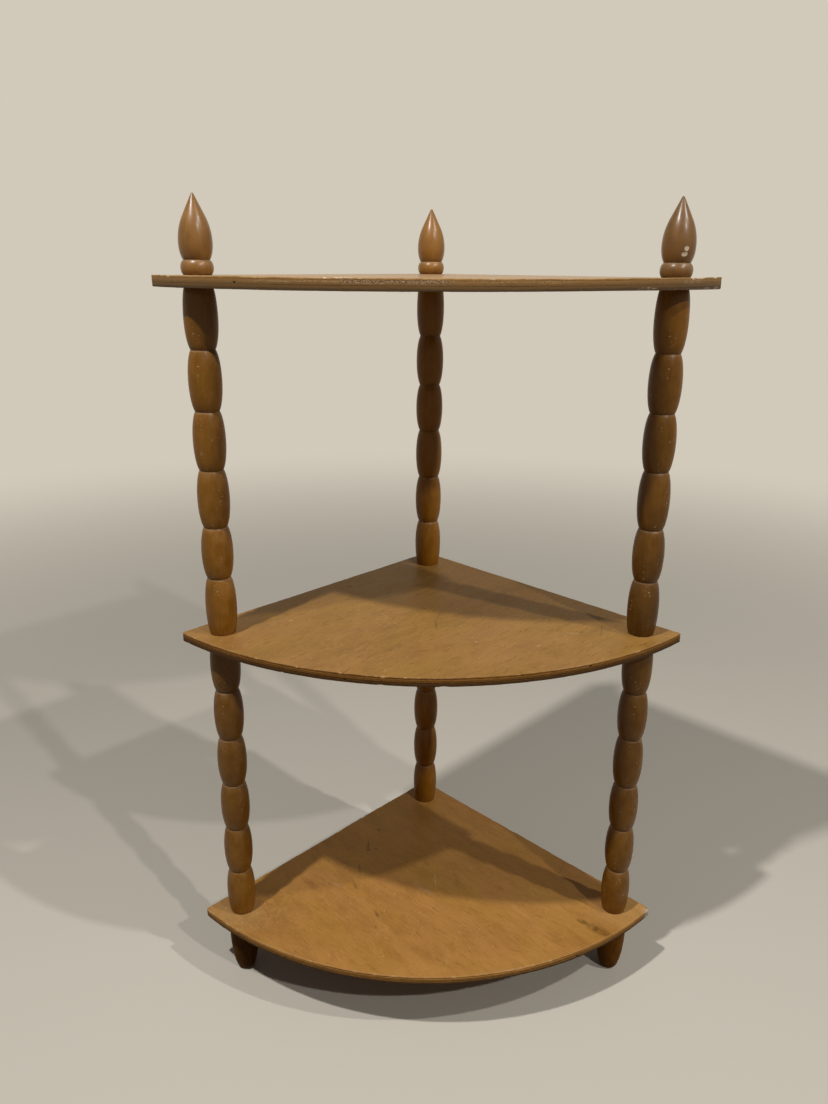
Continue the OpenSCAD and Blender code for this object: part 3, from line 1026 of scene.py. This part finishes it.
MIDDLE_PALE = [
    (-111.9, -35.1, 1.6, 1, 10, 0.6, 0.45), (30.2, -66.3, 1.3, 0.5, -40, 0.6, 0.55),
    (33.1, -75, 1.2, 0.5, -50, 0.6, 0.55), (79, -81, 2.2, 0.7, 40, 0.8, 0.4),
    (108.9, -58.5, 4.6, 0.6, -8, 0.8, 0.34),
]
TOP_SCUFFS = [(-88, 34, 4.7, 0.6, 0.1), (-27, 42, 5.0, 1.5, 1.0), (50, 40, 5.2, 0.4, 0.4),
              (132, 7, 0.9, 1.0, 0.0), (166, 9, 4.6, 1.6, 0.2)]

# Worn places on the front edges, by x in millimetres
LOW_CHIPS = [
    (-171, 2.4, 1.2, 1), (-96, 2.0, 1.0, 1), (-30, 3.0, 1.0, 1), (18, 2.2, 1.1, 1),
    (64, 3.2, 1.2, 1), (97, 2.0, 1.3, 1), (-52, 2.4, 1.1, 0), (45, 9.0, 0.9, 0),
    (134, 3.0, 1.2, 0), (-188, 4.0, 1.3, 1),
]
MIDDLE_CHIPS = [
    (-41, 0.8, 0.9, 1), (-12, 1.0, 0.9, 1), (6, 3.4, 1.1, 0), (-10, 2.4, 0.9, 0),
    (-38, 3.0, 1.0, 0), (58, 0.9, 0.9, 1), (151, 3.0, 1.1, 1),
]
TOP_CHIPS = [
    (126, 3.2, 1.6, 0), (132, 2.2, 1.3, 0), (172, 5.0, 1.4, 1), (166, 2.0, 1.6, 1),
    (-60, 5.0, 0.8, 1), (30, 3.0, 0.8, 1), (180, 3.0, 1.4, 0), (190, 4.0, 2.0, 0),
]
LOW_GAPS = [(-118, 0.9, 1, 0.6), (121, 1.0, 1, 0.7)]
MIDDLE_GAPS = [(-63, 0.8, 1, 0.6), (112, 1.0, 3, 0.6)]
TOP_GAPS = [(-128, 0.7, 2, 0.5)]

# The top board's old plies have swollen, and its right tip has lifted a little
TOP_SWELL = ((-190, 0.4, 0.6), (-175, 0.5, 0.7), (-125, 0.6, 0.75), (-67, 0.55, 0.9),
             (28, 0.1, 0.6), (78, 0.5, 0.2), (142, 0.9, -0.5), (175, 1.1, -0.8), (192, 1.1, -0.8))

# Looks and shape of each board, as board_wood and board_piece take them
BOARDS = {
    "bottom_shelf": (
        dict(face=(0.398, 0.190, 0.042), ply=(0.290, 0.133, 0.028),
             tones=(0.22, 1.00, 0.82, 2.05, 1.18), glue=0.45, rough_edge=0.5, fleck=0.8,
             dark_marks=LOW_DARK, pale_marks=LOW_PALE),
        dict(seed=3, grain_turn=-45, arris=1.0, chips=LOW_CHIPS, gaps=LOW_GAPS,
             ragged_tip=True)),
    "middle_shelf": (
        dict(face=(0.290, 0.146, 0.034), ply=(0.200, 0.084, 0.014),
             tones=(0.26, 0.56, 0.72, 1.62, 1.02), glue=0.66, rough_edge=0.6, fleck=1.2,
             dark_marks=MIDDLE_DARK, pale_marks=MIDDLE_PALE),
        dict(seed=5, grain_turn=45, arris=0.75, chips=MIDDLE_CHIPS, gaps=MIDDLE_GAPS)),
    "top_shelf": (
        # The top board's paler face colour is partly a painted sheen
        dict(face=(0.345, 0.208, 0.088), ply=(0.345, 0.173, 0.046),
             tones=(0.22, 0.44, 0.56, 0.84, 0.96), glue=0.92, rough_edge=0.25, fleck=1.0,
             satin=(0.40, 0.20), bare=(0.44, 0.32, 0.20), scuffed=TOP_SCUFFS),
        dict(seed=8, grain_turn=45, arris=0.85, chips=TOP_CHIPS, gaps=TOP_GAPS, bold=0.35,
             swollen=TOP_SWELL)),
}


def build_boards():
    made = {node: board_piece(node, board_wood(node + "_wood", **wood), **shape)
            for node, (wood, shape) in BOARDS.items()}
    # The top board's face is paler, partly faded and partly a painted sheen; its underside isn't
    # faded, and has the thinner lacquer of the boards below
    made["top_shelf"].data.materials.append(made["middle_shelf"].data.materials[0])
    for face in made["top_shelf"].data.polygons:
        if face.normal.z < -0.9:
            face.material_index = 1


# Name, darkest and lightest stain, bare wood, coat's weight and roughness, and specular
TURNED_WOODS = (
    ("lacquered_wood", (0.155, 0.057, 0.002), (0.290, 0.118, 0.007), (0.50, 0.36, 0.22),
     0.34, 0.32, 0.10),
    ("finial_wood", (0.150, 0.059, 0.004), (0.290, 0.124, 0.014), (0.60, 0.48, 0.33),
     0.70, 0.29, 0.22),
    ("dark_foot_wood", (0.056, 0.020, 0.002), (0.128, 0.048, 0.006), (0.26, 0.15, 0.07),
     0.02, 0.24, 0.02),
)

# Strength of the stain at the lower and the upper end of each turned piece, whose change along
# a piece is partly painted shade and light falling off along its height; and the strengths of its
# pale nicks and of the painted sheen on its upper shoulders
COLUMN_LOOKS = {
    "lower_spindle_left": ((1.03, 0.62), 0.60, 0.36),
    "upper_spindle_left": ((1.02, 0.94), 0.85, 0.22),
    "lower_spindle_right": ((0.86, 0.60), 0.90, 0.20),
    "upper_spindle_right": ((0.36, 1.04), 1.00, 0.16),
    "lower_spindle_back": ((1.15, 1.15), 0.40, 0.15),
    "upper_spindle_back": ((1.20, 1.20), 0.35, 0.10),
    "finial_left": ((1.00, 1.00), 0.10, 0.14),
    "finial_right": ((0.66, 0.64), 0.10, 0.14),
    "finial_back": ((1.14, 1.14), 0.10, 0.10),
    "foot_left": ((1.05, 1.05), 0.34, 0.05),
    "foot_right": ((1.70, 1.70), 0.40, 0.05),
    "foot_back": ((1.00, 1.00), 0.30, 0.10),
}
# The bobbins of the hand-turned spindles aren't all of one length
EVEN = (0, 0, 0, 0, 0)
GROOVE_SHIFTS = {
    "upper_spindle_left": (2.7, 0.0, 0.4, 0.4, 0.5),
    "upper_spindle_right": (1.2, -0.6, 0.6, 0.3, -0.5),
    "upper_spindle_back": (-0.2, -0.1, 0.0, -1.6, -1.9),
    "lower_spindle_right": (0.0, -0.8, -1.4, 0.0, -1.1),
}
FINIAL_CHIPS = {
    "finial_right": ((-79, 18.9, 1.8, 0.22), (-81, 15.4, 1.7, 0.14), (-87, 15.2, 1.5, 0.12)),
}


def build_columns():
    lacquered, glossy, dark = (turned_wood(*look) for look in TURNED_WOODS)
    for number, side in enumerate(("left", "right", "back")):
        for level, part in enumerate(("lower_spindle", "upper_spindle")):
            node = f"{part}_{side}"
            seed = 10 + 7 * number + 3 * level
            profile, grooves = spindle_profile(height_of(node), random.Random(seed),
                                               GROOVE_SHIFTS.get(node, EVEN))
            turned_piece(node, lacquered, profile, grooves, seed, dents=20,
                         bore_low=True, bore_high=True)
        node = f"finial_{side}"
        turned_piece(node, glossy, finial_profile(height_of(node)), [BEAD_H],
                     seed=50 + number, chips=FINIAL_CHIPS.get(node, ()),
                     segments=FINIAL_SEGMENTS, bore_low=True)
        node = f"foot_{side}"
        turned_piece(node, dark, foot_profile(height_of(node)), [],
                     seed=70 + number, dents=8, bore_high=True)


def build_studs():
    steel = zinc_steel()
    for name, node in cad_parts.items():
        if "_stud_" in name:
            node.data.materials.clear()
            node.data.materials.append(steel)


make_camera()
make_lamps()
make_room()
make_floor()
build_boards()
build_columns()
build_studs()
